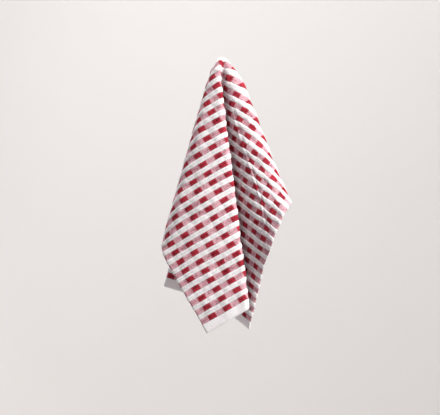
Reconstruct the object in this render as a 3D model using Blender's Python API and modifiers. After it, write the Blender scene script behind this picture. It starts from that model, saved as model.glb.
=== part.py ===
"""A square cotton dish cloth, hung on a small hook that stands off a wall.

One woven piece: puffy white rows between flat coloured rows, a hem across each end. The hook holds it
from below at a point in the middle of its width, nearer one hem. From there the cloth falls in straight
folds that spread like the ribs of a half closed umbrella, and the short end drops behind the hook.

Frame: metres, +Z up, origin on top of the hook under the cloth's peak, -Y towards the viewer, +X right.
"""

import bpy
import numpy as np

# Cloth
MM = 0.001
WIDTH = 305 * MM  # selvage to selvage
LENGTH = 305 * MM  # hem to hem
THICKNESS = 1.3 * MM
FRONT_DROP = 246 * MM  # hook to the front hem, along the cloth
ROWS = 27  # coloured rows, with a white one between each two
FIRST_ROW = 12.3 * MM  # hem edge to the middle of the nearest coloured row
ROW_PITCH = (LENGTH - 2 * FIRST_ROW) / (ROWS - 1)
HEM_LEVEL = 0.22  # of a pitch past the first row, where the rib wave stops and the hem stays level
RIB_RISE = 0.6 * MM  # white rows over coloured ones
COLOUR = (0.72, 0.42, 0.45, 1)  # white, red and pink from a step away

# Hang
SWING_RUN = 200 * MM  # run of cloth past the cap at which the table's swings are measured
SWING_START = 40 * MM  # run over which a fold starts to swing forward; back, it swings at once
MOST_OF_GAP = 0.23  # of the angle to the next fold line that one fold may round off
NOTHING = 1e-6  # keeps a length or a direction from being divided by zero

# Mesh
FINE_STEPS = 150  # cells along each side before thinning
RAY_STEPS = 24  # pieces of one ray whose lengths are added up
KEPT_SHARE = 0.115  # of the fine triangles

# Each row is a line of the cloth that runs straight out from the hook. The cloth angle is measured in the
# flat cloth, from straight down the front, positive to the right. The cap is how far the cloth rounds over
# the hook there, and the lean is the line's seen angle from plumb past it. The swing is how far the line
# has gone back, or forward where negative, after SWING_RUN. The radius rounds the fold, and the take-up is
# the share of its length that small puckers use.
# name, cloth angle (degrees), lean (degrees), cap (mm), swing (mm), radius (mm), take-up (%)
FOLDS = [
    ("flap middle", -180, 0.0, 11, 34, 3.0, 0),
    ("flap left", -158, -2.0, 11, 33, 2.5, 0),
    ("left pleat 5", -137, -16.0, 11, 32, 2.5, 0),
    ("left pleat 4", -117, 2.0, 11, 31, 2.5, 1),
    ("left pleat 3", -98, -14.5, 11, 30, 2.5, 1),
    ("left pleat 2", -78, 3.0, 11, 30, 2.5, 2),
    ("left back", -59, -15.0, 11, 28, 3.0, 2),
    ("left roll", -45.5, -15.5, 10, 2, 5.0, 1),
    ("front crease", -22.8, 6.9, 11, -27, 2.2, 1),
    ("inner left fold", 2, -14.5, 5, 18, 2.4, 0),
    ("inner bend", 20, -1.2, 2, 4, 4.0, 2),
    ("recess edge", 44, 11.4, 6, -46, 5.0, 3),
    ("pleat crest", 50, 15.0, 7.5, -54, 4.0, 3),
    ("right bend", 55, 18.2, 9, -56.5, 3.0, 3),
    ("right roll", 60, 21.2, 10, -52, 4.0, 2),
    ("right back", 70, 18.5, 10, -14, 3.0, 2),
    ("right pleat 1", 85, 7.0, 11, 3.5, 2.5, 1),
    ("right pleat 2", 99, 19.5, 11, 6, 2.5, 0),
    ("right pleat 3", 115, 5.0, 11, 10.5, 2.5, 0),
    ("right pleat 4", 132, 17.5, 11, 17, 2.5, 0),
    ("flap right", 152, 3.0, 11, 24, 2.5, 0),
    ("flap middle", 180, 0.0, 11, 34, 3.0, 0),
]


def fold_columns():
    """The table as arrays, with its two ends repeated a full turn on, so that the cloth joins up behind."""
    columns = np.array([row[1:] for row in FOLDS], float).T
    angle = columns[0]
    before, after = slice(-3, -1), slice(1, 3)
    angle = np.concatenate([angle[before] - 360, angle, angle[after] + 360])
    lean, cap, swing, radius, take_up = (np.concatenate([c[before], c, c[after]]) for c in columns[1:])
    return np.radians(angle), np.radians(lean), cap * MM, swing * MM, radius * MM, take_up / 100


def ramp(turn, half):
    """Zero, then a slope of one, joined by a parabola that reaches half to each side of zero."""
    inside = (turn + half) ** 2 / (4 * half)
    return np.where(turn <= -half, 0.0, np.where(turn >= half, turn, inside))


def section(theta, reach):
    """Where the cloth's point at angle theta and distance reach from the hook stands, seen from above.

    Each fold line leaves the rim of its cap, leans outwards and swings forward or back. At one reach the
    fold lines are the corners of a chain. Two new corners cut off each of them, and the parabolas of ramp()
    round those into a fold.
    """
    angle, lean, cap, swing, radius, _ = fold_columns()
    reach = np.maximum(reach, NOTHING)[:, None]
    rim = cap * (1 - np.exp(-reach / cap))
    run = reach - rim
    start = np.where(swing < 0, SWING_START, 0)
    share = run**2 / (run + start) * (SWING_RUN + start) / SWING_RUN**2
    side = rim * np.sin(angle) + run * np.sin(lean)
    back = rim * -np.cos(angle) + swing * share
    corner = np.stack([side, back], axis=-1)

    way = np.diff(corner, axis=1)
    way /= np.linalg.norm(way, axis=-1, keepdims=True) + NOTHING**2
    before, after = way[:, :-1], way[:, 1:]
    turned = before[..., 0] * after[..., 1] - before[..., 1] * after[..., 0]
    across = before - after
    across = np.stack([-across[..., 1], across[..., 0]], axis=-1) * np.sign(turned)[..., None]
    along = before + after
    sharp = np.linalg.norm(across, axis=-1, keepdims=True) > 1
    heading = np.where(sharp, across, along)
    heading /= np.linalg.norm(heading, axis=-1, keepdims=True) + NOTHING**2

    gap = np.diff(angle)
    most = MOST_OF_GAP * np.minimum(gap[:-1], gap[1:])
    half = 1 / np.hypot(reach / radius[1:-1], 1 / most)
    shift = heading * (half * reach)[..., None]
    inner = corner[:, 1:-1]
    points = np.stack([inner - shift, inner + shift], axis=2).reshape(len(reach), -1, 2)
    turns = np.stack([angle[1:-1] - half, angle[1:-1] + half], axis=2).reshape(len(reach), -1)
    halves = np.repeat(half, 2, axis=1)

    slope = np.diff(points, axis=1) / np.diff(turns, axis=1)[..., None]
    bend = np.diff(slope, axis=1)
    lift = ramp(theta[:, None] - turns[:, 1:-1], halves[:, 1:-1])
    first = points[:, 0] + slope[:, 0] * (theta[:, None] - turns[:, :1])
    return first + (bend * lift[..., None]).sum(axis=1)


def drape(across, down):
    """Cloth points, across from its middle and down from the hook, as points in space.

    The height makes up each ray's length: every short piece of it is as long hung as it is flat, but for
    what the puckers take up.
    """
    reach = np.hypot(across, down)
    theta = np.arctan2(across, down)
    angle, _, _, _, _, take_up = fold_columns()
    piece = reach * (1 - np.interp(theta, angle, take_up)) / RAY_STEPS
    place = np.zeros((len(reach), 2))
    height = np.full(len(reach), THICKNESS / 2)
    for step in range(1, RAY_STEPS + 1):
        here = section(theta, reach * step / RAY_STEPS)
        flat = np.linalg.norm(here - place, axis=1)
        height -= np.sqrt(np.maximum(piece**2 - flat**2, 0))
        place = here
    return np.column_stack([place, height])


def grid(columns, rows):
    """Corner numbers of the quads of a grid of columns by rows cells, facing the viewer at the front."""
    first = np.arange(rows)[:, None] * (columns + 1) + np.arange(columns)
    corners = [first, first + columns + 1, first + columns + 2, first + 1]
    return np.stack(corners, axis=-1).reshape(-1, 4)


def sheet_normals(points, columns, rows):
    """Unit normals of the grid's points, from the steps to the points on each side."""
    shaped = points.reshape(rows + 1, columns + 1, 3)
    side = np.gradient(shaped, axis=1)
    down = np.gradient(shaped, axis=0)
    normal = np.cross(down, side)
    normal /= np.linalg.norm(normal, axis=-1, keepdims=True) + NOTHING**2
    return normal.reshape(-1, 3)


def rib(down):
    """Height of the sheet, a cosine wave: 0 on the coloured rows, a rib on the white ones, level hems."""
    place = (FRONT_DROP - down - FIRST_ROW) / ROW_PITCH
    place = np.clip(place, -HEM_LEVEL, ROWS - 1 + HEM_LEVEL)
    return RIB_RISE / 2 * (1 - np.cos(2 * np.pi * place))


def cloth_material():
    material = bpy.data.materials.new("woven cotton")
    material.use_nodes = True
    shader = material.node_tree.nodes["Principled BSDF"]
    shader.inputs["Base Color"].default_value = COLOUR
    shader.inputs["Roughness"].default_value = 0.9
    material.diffuse_color = COLOUR
    return material


def make_cloth(collection):
    """The whole cloth: a fine sheet, thinned where it is flat, then given its thickness."""
    side = np.linspace(-WIDTH / 2, WIDTH / 2, FINE_STEPS + 1)
    drop = np.linspace(FRONT_DROP - LENGTH, FRONT_DROP, FINE_STEPS + 1)
    across, down = (part.ravel() for part in np.meshgrid(side, drop))
    points = drape(across, down)
    points += sheet_normals(points, FINE_STEPS, FINE_STEPS) * rib(down)[:, None]

    mesh = bpy.data.meshes.new("dish_cloth")
    mesh.from_pydata(points.tolist(), [], grid(FINE_STEPS, FINE_STEPS).tolist())
    cloth = bpy.data.objects.new("dish_cloth", mesh)
    collection.objects.link(cloth)
    mesh.materials.append(cloth_material())
    mesh.shade_smooth()

    thin = cloth.modifiers.new("Fewer faces", "DECIMATE")
    thin.ratio = KEPT_SHARE
    wall = cloth.modifiers.new("Thickness", "SOLIDIFY")
    wall.thickness = THICKNESS
    wall.offset = 0
    return cloth


def main():
    for obj in list(bpy.data.objects):
        bpy.data.objects.remove(obj)
    collection = bpy.data.collections.new("Dish cloth")
    bpy.context.scene.collection.children.link(collection)
    make_cloth(collection)


main()
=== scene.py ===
"""A woven cotton dish cloth, hung on a hook, as the looks for its solid.

The cloth is one sheet. Its folds are the solid's own, from the same table of fold lines, and its face has
the relief of the weave: round white rows, low red pillows and flat pink blocks between them, a turned hem
across each end and scalloped selvages. The frame is the solid's: metres, +Z up, origin on the hook.
"""

import bpy
import numpy as np
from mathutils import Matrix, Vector


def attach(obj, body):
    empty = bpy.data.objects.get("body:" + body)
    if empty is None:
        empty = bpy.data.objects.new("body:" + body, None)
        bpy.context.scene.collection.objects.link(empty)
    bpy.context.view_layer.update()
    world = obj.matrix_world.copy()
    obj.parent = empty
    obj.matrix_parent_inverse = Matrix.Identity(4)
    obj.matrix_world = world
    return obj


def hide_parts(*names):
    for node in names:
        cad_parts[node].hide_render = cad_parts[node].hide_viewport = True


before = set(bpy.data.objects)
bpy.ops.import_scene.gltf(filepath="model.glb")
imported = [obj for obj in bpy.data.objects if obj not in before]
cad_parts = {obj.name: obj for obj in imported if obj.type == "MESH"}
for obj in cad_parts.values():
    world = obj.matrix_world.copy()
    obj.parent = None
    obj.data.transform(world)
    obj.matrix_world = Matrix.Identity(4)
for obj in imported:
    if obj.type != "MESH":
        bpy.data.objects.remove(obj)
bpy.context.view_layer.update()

MM = 0.001

# Cloth
WIDTH = 305 * MM  # selvage to selvage
LENGTH = 305 * MM  # hem to hem
FRONT_DROP = 246 * MM  # hook to the front hem, along the cloth
ROWS = 27  # coloured rows
COLUMNS = 17  # red blocks in a row
FIRST_ROW = 12.3 * MM  # hem edge to the middle of the nearest coloured row
FIRST_COLUMN = 13.2 * MM  # selvage to the middle of the nearest red block
ROW_PITCH = (LENGTH - 2 * FIRST_ROW) / (ROWS - 1)
COLUMN_PITCH = (WIDTH - 2 * FIRST_COLUMN) / (COLUMNS - 1)
ROW_HALF = 2.7 * MM  # half the height of a coloured row
RED_HALF = 4.3 * MM  # half the width of a red block
HEM = 9.2 * MM  # edge to the row of stitches

# Relief of each face, over the sheet's middle
CORE = 0.45 * MM
WHITE_RISE = 0.75 * MM
RED_RISE = 0.5 * MM
PINK_RISE = 0.1 * MM
DIMPLE = 0.35 * MM
HEM_RISE = 0.5 * MM
HEM_BASE = 0.1 * MM
SCALLOP = 0.7 * MM
SCALLOP_FADE = 15  # power of the place across, which keeps the scallops by the selvages
DIMPLE_SPREAD = 1.3 * MM
RED_PAST_ROW = 0.3 * MM  # how far a red dome runs past its row
RED_PAST_BLOCK = 0.2 * MM  # and past the sides of its block
HEM_PAST_STITCHES = 0.4 * MM
EDGE_ROUND = 1.6 * MM  # width over which the sheet thins to its edges
EDGE_THIN = 0.35  # of its thickness, at the very edge

# Slight unevenness of the weave and the hang
# random seed, size, shortest wave, longest wave
ACROSS_DRIFT = (3, 0.5 * MM, 40 * MM, 90 * MM)
DOWN_DRIFT = (5, 0.6 * MM, 30 * MM, 80 * MM)
SOFT_WAVES = (8, 0.5 * MM, 14 * MM, 34 * MM)
WAVES = 9  # added up for each of them

# Grid
ROW_CELLS = 8  # to a row pitch
COLUMN_CELLS = 12  # to a column pitch
MARGIN_CELLS = 9  # from an edge to the first row or column

# Hang
SWING_RUN = 200 * MM  # run of cloth past the cap at which the table's swings are measured
SWING_START = 40 * MM  # run over which a fold starts to swing forward; back, it swings at once
MOST_OF_GAP = 0.23  # of the angle to the next fold line that one fold may round off
NOTHING = 1e-6  # keeps a length or a direction from being divided by zero
RAY_STEPS = 24  # pieces of one ray whose lengths are added up
SOLID_THICKNESS = 1.3 * MM

# The solid's own fold lines: straight lines of the cloth from the hook
# name, cloth angle (degrees), lean (degrees), cap (mm), swing (mm), radius (mm), take-up (%)
FOLDS = [
    ("flap middle", -180, 0.0, 11, 34, 3.0, 0),
    ("flap left", -158, -2.0, 11, 33, 2.5, 0),
    ("left pleat 5", -137, -16.0, 11, 32, 2.5, 0),
    ("left pleat 4", -117, 2.0, 11, 31, 2.5, 1),
    ("left pleat 3", -98, -14.5, 11, 30, 2.5, 1),
    ("left pleat 2", -78, 3.0, 11, 30, 2.5, 2),
    ("left back", -59, -15.0, 11, 28, 3.0, 2),
    ("left roll", -45.5, -15.5, 10, 2, 5.0, 1),
    ("front crease", -22.8, 6.9, 11, -27, 2.2, 1),
    ("inner left fold", 2, -14.5, 5, 18, 2.4, 0),
    ("inner bend", 20, -1.2, 2, 4, 4.0, 2),
    ("recess edge", 44, 11.4, 6, -46, 5.0, 3),
    ("pleat crest", 50, 15.0, 7.5, -54, 4.0, 3),
    ("right bend", 55, 18.2, 9, -56.5, 3.0, 3),
    ("right roll", 60, 21.2, 10, -52, 4.0, 2),
    ("right back", 70, 18.5, 10, -14, 3.0, 2),
    ("right pleat 1", 85, 7.0, 11, 3.5, 2.5, 1),
    ("right pleat 2", 99, 19.5, 11, 6, 2.5, 0),
    ("right pleat 3", 115, 5.0, 11, 10.5, 2.5, 0),
    ("right pleat 4", 132, 17.5, 11, 17, 2.5, 0),
    ("flap right", 152, 3.0, 11, 24, 2.5, 0),
    ("flap middle", 180, 0.0, 11, 34, 3.0, 0),
]

# Softer forms between the fold lines, bulges out and hollows in
# name, first angle, last angle (degrees), height (mm), reach where it starts, is full and ends (mm)
BULGES = [
    ("left panel", -45, -23, 3.5, 0, 150, 400),
    ("hollow by the crease", -22, 20, -4.0, 6, 28, 95),
    ("right shoulder", 15, 90, 4.0, 8, 35, 130),
]
PLEAT = [(60, 41.8), (83, 43.1), (125, 45.1), (163, 46.5), (205, 44.9)]  # reach (mm), angle (degrees)
PLEAT_HEIGHT = 0.55 * MM
PLEAT_HALF = 2.2 * MM  # half its width
PLEAT_REACH = (65 * MM, 210 * MM)
PLEAT_FADE = 20 * MM
CURL = 9 * MM  # how far the lower right selvage comes forward
CURL_DEPTH = 26 * MM  # from the selvage to where the curl starts
CURL_ANGLES = (46, 55)  # degrees
CURL_FADE = 7  # degrees


# How the cloth hangs
def fold_columns():
    """The table as arrays, with its two ends repeated a full turn on, so that the cloth joins up behind."""
    columns = np.array([row[1:] for row in FOLDS], float).T
    angle = columns[0]
    before, after = slice(-3, -1), slice(1, 3)
    angle = np.concatenate([angle[before] - 360, angle, angle[after] + 360])
    lean, cap, swing, radius, take_up = (np.concatenate([c[before], c, c[after]]) for c in columns[1:])
    return np.radians(angle), np.radians(lean), cap * MM, swing * MM, radius * MM, take_up / 100


def ramp(turn, half):
    """Zero, then a slope of one, joined by a parabola that reaches half to each side of zero."""
    inside = (turn + half) ** 2 / (4 * half)
    return np.where(turn <= -half, 0.0, np.where(turn >= half, turn, inside))


def section(theta, reach):
    """Where the cloth's point at angle theta and distance reach from the hook stands, seen from above.

    Each fold line leaves the cap's rim and leans outwards. At one reach the fold lines are the corners of
    a chain, each corner is cut across by two, and the parabolas of ramp() round those into a fold.
    """
    angle, lean, cap, swing, radius, _ = fold_columns()
    reach = np.maximum(reach, NOTHING)[:, None]
    rim = cap * (1 - np.exp(-reach / cap))
    run = reach - rim
    start = np.where(swing < 0, SWING_START, 0)
    share = run**2 / (run + start) * (SWING_RUN + start) / SWING_RUN**2
    side = rim * np.sin(angle) + run * np.sin(lean)
    back = rim * -np.cos(angle) + swing * share
    corner = np.stack([side, back], axis=-1)

    way = np.diff(corner, axis=1)
    way /= np.linalg.norm(way, axis=-1, keepdims=True) + NOTHING**2
    before, after = way[:, :-1], way[:, 1:]
    turned = before[..., 0] * after[..., 1] - before[..., 1] * after[..., 0]
    across = before - after
    across = np.stack([-across[..., 1], across[..., 0]], axis=-1) * np.sign(turned)[..., None]
    along = before + after
    sharp = np.linalg.norm(across, axis=-1, keepdims=True) > 1
    heading = np.where(sharp, across, along)
    heading /= np.linalg.norm(heading, axis=-1, keepdims=True) + NOTHING**2

    gap = np.diff(angle)
    most = MOST_OF_GAP * np.minimum(gap[:-1], gap[1:])
    half = 1 / np.hypot(reach / radius[1:-1], 1 / most)
    shift = heading * (half * reach)[..., None]
    inner = corner[:, 1:-1]
    points = np.stack([inner - shift, inner + shift], axis=2).reshape(len(reach), -1, 2)
    turns = np.stack([angle[1:-1] - half, angle[1:-1] + half], axis=2).reshape(len(reach), -1)
    halves = np.repeat(half, 2, axis=1)

    slope = np.diff(points, axis=1) / np.diff(turns, axis=1)[..., None]
    bend = np.diff(slope, axis=1)
    lift = ramp(theta[:, None] - turns[:, 1:-1], halves[:, 1:-1])
    first = points[:, 0] + slope[:, 0] * (theta[:, None] - turns[:, :1])
    return first + (bend * lift[..., None]).sum(axis=1)


def drape(across, down):
    """Cloth points, across from its middle and down from the hook, as points in space.

    The height makes up each ray's length: every short piece of it is as long hung as it is flat, but for
    what the puckers take up.
    """
    reach = np.hypot(across, down)
    theta = np.arctan2(across, down)
    angle, _, _, _, _, take_up = fold_columns()
    piece = reach * (1 - np.interp(theta, angle, take_up)) / RAY_STEPS
    place = np.zeros((len(reach), 2))
    height = np.full(len(reach), SOLID_THICKNESS / 2)
    for step in range(1, RAY_STEPS + 1):
        here = section(theta, reach * step / RAY_STEPS)
        flat = np.linalg.norm(here - place, axis=1)
        height -= np.sqrt(np.maximum(piece**2 - flat**2, 0))
        place = here
    return np.column_stack([place, height])


def unevenness(kind, across, up):
    """A sum of waves with random ways and lengths, about as high as the size that its kind states."""
    seed, size, shortest, longest = kind
    random = np.random.default_rng(seed)
    total = np.zeros_like(across)
    for _ in range(WAVES):
        way = random.uniform(0, np.pi)
        length = random.uniform(shortest, longest)
        start = random.uniform(0, 2 * np.pi)
        total += np.sin((across * np.cos(way) + up * np.sin(way)) * 2 * np.pi / length + start)
    return size * (total / (WAVES / 2))


def between(value, low, high, soft):
    """1 from low to high, falling to 0 over soft outside them along a smooth step."""
    share = np.clip(1 - np.maximum(low - value, value - high) / soft, 0, 1)
    return share * share * (3 - 2 * share)


def bulges(across, down):
    """How far the sheet stands out of its straight folds, along its face, under a slight unevenness.

    A bulge is half a sine wave from its first angle to its last, and grows and fades along its reach. The
    pleat is one whole sine wave across its line, a ridge with a groove on its right.
    """
    theta = np.degrees(np.arctan2(across, down))
    reach = np.hypot(across, down)
    out = unevenness(SOFT_WAVES, across, down)
    for _, first, last, height, start, full, end in BULGES:
        share = np.clip((theta - first) / (last - first), 0, 1)
        grown = np.interp(reach / MM, [start, full, end], [0, 1, 0])
        out += height * MM * np.sin(np.pi * share) * grown
    reaches, angles = np.array(PLEAT, float).T
    beside = reach * np.radians(theta - np.interp(reach, reaches * MM, angles)) / PLEAT_HALF
    wave = np.where(np.abs(beside) < 1, -np.sin(np.pi * beside), 0)
    return out + PLEAT_HEIGHT * wave * between(reach, *PLEAT_REACH, PLEAT_FADE)


def curl(across, down):
    """How far the lower right selvage comes forward: a parabola that starts at its depth from the edge."""
    theta = np.degrees(np.arctan2(across, down))
    near_edge = np.clip(1 - (WIDTH / 2 - across) / CURL_DEPTH, 0, 1)
    return CURL * near_edge**2 * between(theta, *CURL_ANGLES, CURL_FADE)


# How the weave stands up
def spaced(length, first, pitch, cells):
    """Places from 0 to length: even cells to each pitch, and the two margins in cells of their own."""
    margin = np.linspace(0, first, MARGIN_CELLS + 1)
    inner = np.arange(first, length - first + pitch / cells / 2, pitch / cells)
    return np.concatenate([margin[:-1], inner[:-1], length - margin[::-1]])


def from_nearest(place, first, pitch, count):
    """Distance from the nearest middle of count rows or columns, the first at first, a pitch apart."""
    number = np.clip(np.round((place - first) / pitch), 0, count - 1)
    return np.abs(place - first - number * pitch)


def dome(share):
    """A half ellipse: 1 at 0, falling to 0 at 1 and past it."""
    return np.sqrt(np.clip(1 - share**2, 0, 1))


def face_height(across, up):
    """Height of a face over the sheet's middle, at across from the left selvage and up from the front hem.

    White rows are half ellipses with a dimple at each change of colour below them, red blocks are low
    domes both ways, and the hems are level bands with a groove along their stitches.
    """
    from_row = from_nearest(up, FIRST_ROW, ROW_PITCH, ROWS)
    from_red = from_nearest(across, FIRST_COLUMN, COLUMN_PITCH, COLUMNS)
    white = dome((ROW_PITCH / 2 - from_row) / (ROW_PITCH / 2 - ROW_HALF))
    change = np.exp(-(((from_red - RED_HALF) / DIMPLE_SPREAD) ** 2))
    red = dome(from_row / (ROW_HALF + RED_PAST_ROW)) * dome(from_red / (RED_HALF + RED_PAST_BLOCK))
    height = white * (WHITE_RISE - DIMPLE * change) + red * RED_RISE + PINK_RISE
    edge = np.minimum(up, LENGTH - up)
    hem = HEM_RISE * dome((edge - HEM / 2) / (HEM / 2 + HEM_PAST_STITCHES)) + HEM_BASE
    return CORE + np.where(edge < HEM, hem, height)


def edge_share(across, up):
    """How much of its thickness the sheet keeps near its four edges, so that they are rounded."""
    nearest = np.minimum(np.minimum(across, WIDTH - across), np.minimum(up, LENGTH - up))
    return EDGE_THIN + (1 - EDGE_THIN) * dome(np.clip(1 - nearest / EDGE_ROUND, 0, 1))


def grid(columns, rows):
    """Corner numbers of the quads of a grid of columns by rows cells, facing the viewer at the front."""
    first = np.arange(rows)[:, None] * (columns + 1) + np.arange(columns)
    corners = [first, first + columns + 1, first + columns + 2, first + 1]
    return np.stack(corners, axis=-1).reshape(-1, 4)


def sheet_normals(points, columns, rows):
    """Unit normals of the grid's points, from the steps to the points on each side."""
    shaped = points.reshape(rows + 1, columns + 1, 3)
    side = np.gradient(shaped, axis=1)
    down = np.gradient(shaped, axis=0)
    normal = np.cross(down, side)
    normal /= np.linalg.norm(normal, axis=-1, keepdims=True) + NOTHING**2
    return normal.reshape(-1, 3)


def border(columns, rows):
    """Numbers of the grid's edge points in order round it, so that a rim can join the two faces."""
    top = np.arange(columns)
    right = np.arange(rows) * (columns + 1) + columns
    bottom = np.arange(columns, 0, -1) + rows * (columns + 1)
    left = np.arange(rows, 0, -1) * (columns + 1)
    return np.concatenate([top, right, bottom, left])


def make_cloth():
    """Two faces over the draped grid, each raised by face_height(), and a rim that joins them."""
    side = spaced(WIDTH, FIRST_COLUMN, COLUMN_PITCH, COLUMN_CELLS)
    rise = spaced(LENGTH, FIRST_ROW, ROW_PITCH, ROW_CELLS)[::-1]
    columns, rows = len(side) - 1, len(rise) - 1
    across, up = (part.ravel() for part in np.meshgrid(side, rise))

    from_row = from_nearest(up, FIRST_ROW, ROW_PITCH, ROWS)
    scallop = SCALLOP * (np.clip(from_row / (ROW_PITCH / 2), 0, 1) - 0.5)
    outward = (across / WIDTH * 2 - 1) ** SCALLOP_FADE
    flat_across = across - WIDTH / 2 + scallop * outward
    flat_across = flat_across + unevenness(ACROSS_DRIFT, across, up)
    flat_down = FRONT_DROP - up + unevenness(DOWN_DRIFT, across, up)

    middle = drape(flat_across, flat_down)
    middle[:, 1] -= curl(flat_across, flat_down)
    normal = sheet_normals(middle, columns, rows)
    middle += normal * bulges(flat_across, flat_down)[:, None]
    height = face_height(across, up) * edge_share(across, up)
    faces = [middle + normal * height[:, None], middle - normal * height[:, None]]
    points = np.concatenate(faces)

    count = len(middle)
    front = grid(columns, rows)
    back = front[:, ::-1] + count
    ring = border(columns, rows)
    after = np.roll(ring, -1)
    rim = np.column_stack([ring, after, after + count, ring + count])
    quads = np.concatenate([front, back, rim])

    mesh = bpy.data.meshes.new("woven_cloth")
    mesh.from_pydata(points.tolist(), [], quads.tolist())
    mesh.update()
    chart = mesh.uv_layers.new(name="cloth")
    place = np.tile(np.column_stack([across / WIDTH, up / LENGTH]), (2, 1))
    chart.data.foreach_set("uv", place[quads.ravel()].ravel())
    mesh.shade_smooth()

    cloth = bpy.data.objects.new("woven_cloth", mesh)
    bpy.context.scene.collection.objects.link(cloth)
    mesh.materials.append(woven_cotton())
    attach(cloth, "root")
    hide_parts("dish_cloth")
    return cloth


# Materials
class Shade:
    """A socket of a material's nodes, so that maths on it reads as plain Python."""

    def __init__(self, board, socket):
        self.board = board
        self.socket = socket

    def math(self, operation, *values):
        return self.board.node("ShaderNodeMath", {"operation": operation}, values)

    def __add__(self, other):
        return self.math("ADD", self, other)

    def __sub__(self, other):
        return self.math("SUBTRACT", self, other)

    def __mul__(self, other):
        return self.math("MULTIPLY", self, other)

    def __rsub__(self, other):
        return self.math("SUBTRACT", other, self)

    __radd__ = __add__
    __rmul__ = __mul__

    def from_whole(self):
        """Distance to the nearest whole number."""
        return self.math("PINGPONG", self, 0.5)

    def below(self, limit, soft):
        """1 where this is under limit, falling smoothly to 0 over soft to each side of it."""
        settings = {"interpolation_type": "SMOOTHSTEP"}
        return self.board.node("ShaderNodeMapRange", settings, [self, limit - soft, limit + soft, 1, 0])


class Board:
    """A material's node tree, with one method that adds any node."""

    def __init__(self, name, shown):
        self.material = bpy.data.materials.new(name)
        self.material.use_nodes = True
        self.material.diffuse_color = shown
        self.tree = self.material.node_tree
        self.shader = self.tree.nodes["Principled BSDF"]

    def node(self, kind, settings=None, values=(), output=0):
        """Adds a node: its settings first, then a value or a link for each socket, by place or by name."""
        made = self.tree.nodes.new(kind)
        for key, value in (settings or {}).items():
            setattr(made, key, value)
        named = values.items() if isinstance(values, dict) else enumerate(values)
        for key, value in named:
            self.put(made.inputs[key], value)
        return Shade(self, made.outputs[output])

    def put(self, socket, value):
        if isinstance(value, Shade):
            self.tree.links.new(value.socket, socket)
        elif value is not None:
            socket.default_value = value

    def mix(self, share, first, second):
        """A colour, from first where share is 0 to second where it is 1."""
        values = {0: share, 6: first, 7: second}
        return self.node("ShaderNodeMix", {"data_type": "RGBA"}, values, output=2)

    def noise(self, place, scale, detail=2.0):
        values = {"Vector": place, "Scale": scale, "Detail": detail}
        return self.node("ShaderNodeTexNoise", {}, values)

    def finish(self, values):
        for name, value in values.items():
            self.put(self.shader.inputs[name], value)
        return self.material


# Yarns: the darkest and the lightest colour of each; the colour moves between them by random tone and by
# the painted shade between the threads
WHITE_YARN = ((0.6, 0.6, 0.61, 1), (0.92, 0.92, 0.93, 1))
PINK_YARN = ((0.26, 0.065, 0.095, 1), (0.74, 0.43, 0.485, 1))
RED_YARN = ((0.07, 0.001, 0.006, 1), (0.44, 0.034, 0.054, 1))
FROM_AFAR = (0.85, 0.6, 0.63, 1)
# painted light: the hems' white is raised so that they show as bright as a well-lit hem
HEM_PAINTED_LIGHT = 0.6
RIBS = 4  # to a row pitch
CROSS_THREAD = 1.15 * MM
ROW_FRAY = 0.5 * MM
BLOCK_FRAY = 0.7 * MM
ROW_SOFT = 0.5 * MM
BLOCK_SOFT = 0.8 * MM
HEM_SOFT = 0.001  # of the cloth's length
FRAY_SCALE = 900.0
TONE_SCALE = 60.0
SLUB_SCALE = 230.0
FLECK_SCALE = 650.0
RIB_SHARE = 0.7  # of the threads' height and shade; the finer ones across them have the rest
TONE_WEIGHT = 0.8
SLUB_WEIGHT = 1.3
FLECK_WEIGHT = 1.2
# how far the colour darkens between the threads: painted shade in their gaps
THREAD_GAP_SHADE = 0.45
BASE_SHADE = 0.42
THREAD_BUMP = 0.8
SLUB_BUMP = 1.5
BUMP_STRENGTH = 0.55
BUMP_DISTANCE = 0.45 * MM
COTTON_ROUGHNESS = 0.92
COTTON_SHINE = 0.08


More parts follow.
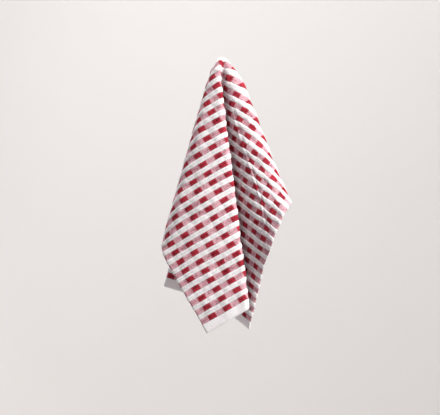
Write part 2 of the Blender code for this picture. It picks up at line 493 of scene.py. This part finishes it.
def woven_cotton():
    """Red and pink blocks in rows on white cotton, in threads that cross at right angles."""
    board = Board("woven cotton", FROM_AFAR)
    chart = board.node("ShaderNodeUVMap", {"uv_map": "cloth"})
    space = board.node("ShaderNodeTexCoord", {}, output=3)
    across = board.node("ShaderNodeSeparateXYZ", {}, [chart])
    up = Shade(board, across.socket.node.outputs[1])

    fray = board.noise(space, FRAY_SCALE, 1.0) - 0.5
    row = (up * LENGTH - FIRST_ROW) * (1 / ROW_PITCH)
    column = (across * WIDTH - FIRST_COLUMN) * (1 / COLUMN_PITCH)
    from_row = row.from_whole() * ROW_PITCH + fray * ROW_FRAY
    from_red = column.from_whole() * COLUMN_PITCH + fray * BLOCK_FRAY
    inside = (up - 0.5).math("ABSOLUTE", up - 0.5).below(0.5 - HEM / LENGTH, HEM_SOFT)
    coloured = from_row.below(ROW_HALF, ROW_SOFT) * inside
    red = from_red.below(RED_HALF, BLOCK_SOFT) * coloured

    # Threads: ribs along a row, each crossed by finer ones that step half a thread
    rib = row * RIBS + 0.5
    rib_number = rib.math("ROUND", rib)
    rib_edge = rib.from_whole() * 2
    cross = across * (WIDTH / CROSS_THREAD) + rib_number * 0.5
    cross_edge = cross.from_whole() * 2
    thread = (1 - rib_edge * rib_edge) * RIB_SHARE
    thread = thread + (1 - cross_edge * cross_edge) * (1 - RIB_SHARE)

    tone = board.noise(space, TONE_SCALE, 2.0) - 0.5
    slub = board.noise(space, SLUB_SCALE, 1.0) - 0.5
    fleck = board.noise(space, FLECK_SCALE, 2.0) - 0.5
    shade = tone * TONE_WEIGHT + slub * SLUB_WEIGHT + fleck * FLECK_WEIGHT
    # the thread term darkens the colour between the threads and ribs: painted shade in their gaps
    shade = shade + thread * THREAD_GAP_SHADE + BASE_SHADE
    # painted light on the hems, lifting their white
    hem_painted_light = (1 - inside) * HEM_PAINTED_LIGHT
    white = board.mix(shade + hem_painted_light, *WHITE_YARN)
    pink = board.mix(shade, *PINK_YARN)
    deep = board.mix(shade, *RED_YARN)
    colour = board.mix(coloured, white, pink)
    colour = board.mix(red, colour, deep)

    height = thread * THREAD_BUMP + fleck + slub * SLUB_BUMP
    relief = {"Strength": BUMP_STRENGTH, "Distance": BUMP_DISTANCE, "Height": height}
    bump = board.node("ShaderNodeBump", {}, relief)
    looks = {
        "Base Color": colour,
        "Roughness": COTTON_ROUGHNESS,
        "Specular IOR Level": COTTON_SHINE,
        "Normal": bump,
    }
    return board.finish(looks)


def plain_paint(name, colour):
    board = Board(name, (*colour, 1))
    space = board.node("ShaderNodeTexCoord", {}, output=3)
    cloud = board.noise(space, CLOUD_SCALE, 2.0)
    dim = tuple(PAINT_DIM * part for part in colour)
    shown = board.mix(cloud, (*dim, 1), (*colour, 1))
    return board.finish({"Base Color": shown, "Roughness": PAINT_ROUGHNESS})


# Stage
FLOOR_LEVEL = -1.3
BACKDROP_AT = 2.4
CURVE = 0.6
CURVE_POINTS = 17
FLOOR_FRONT = -4.0
BACKDROP_HEIGHT = 4.5
STAGE_HALF = 5.0
PAINT = (0.86, 0.85, 0.83)
PAINT_DIM = 0.96  # of the paint's colour, where it is darkest
CLOUD_SCALE = 2.5
PAINT_ROUGHNESS = 0.85

# name, place, aim (m), size (m), power (W), colour, spread (radians)
ON_CLOTH = (0, 0, -0.14)
LIGHTS = [
    ("key", (1.16, -1.2, 0.8), ON_CLOTH, 0.5, 3.65, (1.0, 0.985, 0.96), 0.8),
    ("back light", (-1.3, 1.5, 0.7), ON_CLOTH, 0.8, 22, (0.97, 0.98, 1.0), np.pi),
    ("backdrop wash", (-0.3, 0.4, 2.3), (0.3, 2.4, -0.5), 1.2, 70, (1.0, 1.0, 0.99), np.pi),
]
AIR_COLOUR = (1.0, 0.85, 0.88, 1)
AIR_STRENGTH = 0.27


def make_stage():
    """A floor that curves up into a backdrop: one profile, carried straight along X."""
    turn = np.linspace(0, np.pi / 2, CURVE_POINTS)
    back = np.concatenate([[FLOOR_FRONT], BACKDROP_AT - CURVE + CURVE * np.sin(turn), [BACKDROP_AT]])
    rise = np.concatenate([[0.0], CURVE - CURVE * np.cos(turn), [BACKDROP_HEIGHT]]) + FLOOR_LEVEL
    across = np.array([-STAGE_HALF, STAGE_HALF])
    points = [(x, y, z) for y, z in zip(back, rise) for x in across]
    first = np.arange(len(back) - 1) * 2
    quads = np.column_stack([first, first + 1, first + 3, first + 2])
    mesh = bpy.data.meshes.new("floor_and_backdrop")
    mesh.from_pydata(points, [], quads.tolist())
    mesh.shade_smooth()
    mesh.materials.append(plain_paint("pale paint", PAINT))
    floor = bpy.data.objects.new("floor_and_backdrop", mesh)
    bpy.context.scene.collection.objects.link(floor)


def area_light(name, place, aim, size, power, colour, spread):
    data = bpy.data.lights.new(name, "AREA")
    data.shape = "DISK"
    data.size = size
    data.energy = power
    data.color = colour
    data.spread = spread
    light = bpy.data.objects.new(name, data)
    light.location = place
    light.rotation_euler = (Vector(aim) - Vector(place)).to_track_quat("-Z", "Y").to_euler()
    bpy.context.scene.collection.objects.link(light)


def make_lights():
    for light in LIGHTS:
        area_light(*light)
    world = bpy.data.worlds.new("studio air")
    world.use_nodes = True
    air = world.node_tree.nodes["Background"]
    air.inputs["Color"].default_value = AIR_COLOUR
    air.inputs["Strength"].default_value = AIR_STRENGTH
    bpy.context.scene.world = world
    bpy.context.scene.view_settings.view_transform = "Standard"


# Camera, level and square to the cloth's front
CAMERA_AT = (-0.0024, -1.8, -0.1537)
FOCAL_PIXELS = 1738.8
IMAGE_WIDTH = 440
SENSOR = 36.0


def make_camera():
    data = bpy.data.cameras.new("camera")
    data.sensor_width = SENSOR
    data.lens = FOCAL_PIXELS * SENSOR / IMAGE_WIDTH
    camera = bpy.data.objects.new("camera", data)
    camera.location = CAMERA_AT
    camera.rotation_euler = (np.pi / 2, 0, 0)
    bpy.context.scene.collection.objects.link(camera)
    bpy.context.scene.camera = camera


make_camera()
make_cloth()
make_stage()
make_lights()
bpy.context.view_layer.update()
